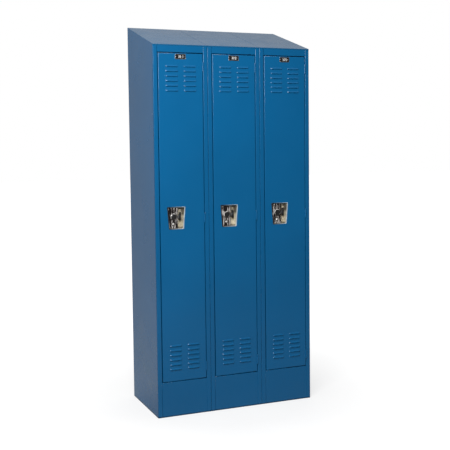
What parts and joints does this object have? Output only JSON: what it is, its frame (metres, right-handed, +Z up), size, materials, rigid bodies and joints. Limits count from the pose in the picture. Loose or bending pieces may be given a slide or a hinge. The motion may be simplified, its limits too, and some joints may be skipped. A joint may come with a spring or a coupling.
{
  "type": "locker cabinet",
  "caption": "Freestanding sheet-steel locker with louvred doors, recessed lift handles, inner shelves and coat hooks, sloping top and closed base.",
  "frame": {"origin": "centre of the bounding box's base, on the floor", "axes": "+X to the right seen from the front, +Y to the back, +Z up; doors face -Y"},
  "size_m": [0.9144, 0.4616, 2.1209],
  "materials": {
    "blue_enamel": "gloss baked enamel, marine blue",
    "stainless_steel": "drawn and polished stainless steel",
    "zinc_steel": "bright zinc plate",
    "frame_steel": "zinc-plated pressed steel",
    "pin_steel": "plain drawn steel wire",
    "rivet_steel": "plated steel rivets",
    "spring_steel": "tempered spring steel",
    "plate_aluminium": "brushed border round a black field",
    "black_plastic": "moulded black ABS",
    "white_plastic": "natural polyethylene",
    "black_rubber": "moulded rubber"
  },
  "bodies": {
    "cabinet": {"side_panel_left": "blue_enamel", "side_panel_right": "blue_enamel", "partition_left": "blue_enamel", "partition_right": "blue_enamel", "ceiling_hooks": "zinc_steel", "hook_fasteners": "zinc_steel", "wall_hooks": "zinc_steel", "latch_hooks": "frame_steel", "hook_bumpers": "black_rubber", "hinge_frame_leaves": "blue_enamel", "hinge_pins": "pin_steel", "back_panel_left": "blue_enamel", "slope_top_left": "blue_enamel", "floor_panel_left": "blue_enamel", "hat_shelf_left": "blue_enamel", "door_frame_left": "blue_enamel", "base_front_left": "blue_enamel", "back_panel_centre": "blue_enamel", "slope_top_centre": "blue_enamel", "floor_panel_centre": "blue_enamel", "hat_shelf_centre": "blue_enamel", "door_frame_centre": "blue_enamel", "base_front_centre": "blue_enamel", "back_panel_right": "blue_enamel", "slope_top_right": "blue_enamel", "floor_panel_right": "blue_enamel", "hat_shelf_right": "blue_enamel", "door_frame_right": "blue_enamel", "base_front_right": "blue_enamel"},
    "door_left": {"door_panel_left": "blue_enamel", "hinge_door_leaves_left": "blue_enamel", "handle_pocket_left": "stainless_steel", "lock_plate_left": "stainless_steel", "bar_guides_left": "white_plastic", "number_plate_left": "plate_aluminium", "door_rivets_left": "rivet_steel"},
    "latch_left": {"lock_bar_left": "zinc_steel", "spring_latches_left": "spring_steel", "lift_trigger_left": "black_plastic"},
    "door_centre": {"door_panel_centre": "blue_enamel", "hinge_door_leaves_centre": "blue_enamel", "handle_pocket_centre": "stainless_steel", "lock_plate_centre": "stainless_steel", "bar_guides_centre": "white_plastic", "number_plate_centre": "plate_aluminium", "door_rivets_centre": "rivet_steel"},
    "latch_centre": {"lock_bar_centre": "zinc_steel", "spring_latches_centre": "spring_steel", "lift_trigger_centre": "black_plastic"},
    "door_right": {"door_panel_right": "blue_enamel", "hinge_door_leaves_right": "blue_enamel", "handle_pocket_right": "stainless_steel", "lock_plate_right": "stainless_steel", "bar_guides_right": "white_plastic", "number_plate_right": "plate_aluminium", "door_rivets_right": "rivet_steel"},
    "latch_right": {"lock_bar_right": "zinc_steel", "spring_latches_right": "spring_steel", "lift_trigger_right": "black_plastic"}
  },
  "joints": [
    {"name": "door_left_hinge", "type": "hinge", "parent": "cabinet", "child": "door_left", "pos_m": [-0.17847, -0.22685, 1.06385], "axis": [0, 0, 1], "range_deg": [0, 165]},
    {"name": "latch_left_lift", "type": "slide", "parent": "door_left", "child": "latch_left", "axis": [0, 0, 1], "range_m": [0, 0.012]},
    {"name": "door_centre_hinge", "type": "hinge", "parent": "cabinet", "child": "door_centre", "pos_m": [0.12607, -0.22685, 1.06385], "axis": [0, 0, 1], "range_deg": [0, 165]},
    {"name": "latch_centre_lift", "type": "slide", "parent": "door_centre", "child": "latch_centre", "axis": [0, 0, 1], "range_m": [0, 0.012]},
    {"name": "door_right_hinge", "type": "hinge", "parent": "cabinet", "child": "door_right", "pos_m": [0.4306, -0.22685, 1.06385], "axis": [0, 0, 1], "range_deg": [0, 165]},
    {"name": "latch_right_lift", "type": "slide", "parent": "door_right", "child": "latch_right", "axis": [0, 0, 1], "range_m": [0, 0.012]}
  ]
}
